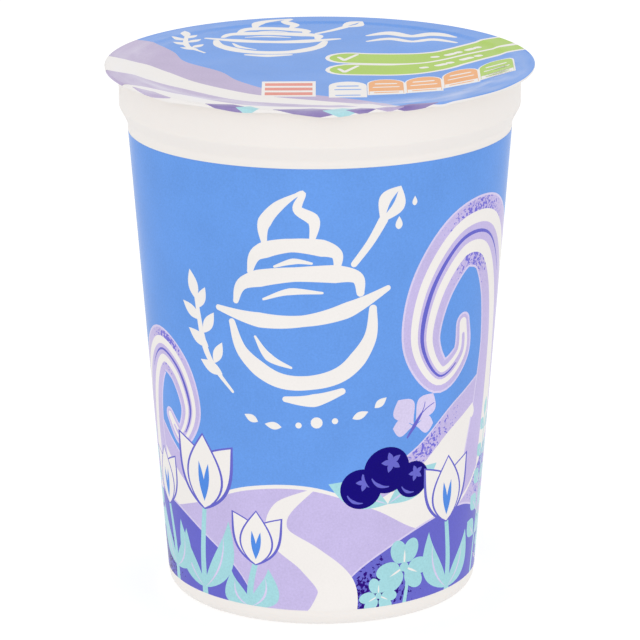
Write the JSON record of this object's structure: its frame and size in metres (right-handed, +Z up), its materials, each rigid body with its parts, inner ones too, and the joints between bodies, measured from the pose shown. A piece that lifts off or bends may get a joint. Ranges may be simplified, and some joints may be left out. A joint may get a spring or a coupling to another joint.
{
  "type": "yogurt pot",
  "caption": "Filled and sealed yogurt pot: tapered plastic pot with a rolled-out flange and stepped skirt, a moulded-in printed film and a foil lid with its front edge pressed down.",
  "frame": {"origin": "centre of the foot ring, on the surface that the pot stands on", "axes": "+Z up through the pot's axis; -Y is the front, where the print has its main panel; the film's seam is on +Y"},
  "size_m": [0.0962, 0.0962, 0.1217],
  "materials": {
    "pot_plastic": "smooth white polypropylene with a soft shine",
    "print": "printed polypropylene film moulded flush into the wall, soft shine",
    "foil": "printed and lacquered aluminium foil, satin"
  },
  "bodies": {
    "root": {"pot": "pot_plastic", "printed_film": "print", "foil_lid": "foil"}
  },
  "joints": []
}
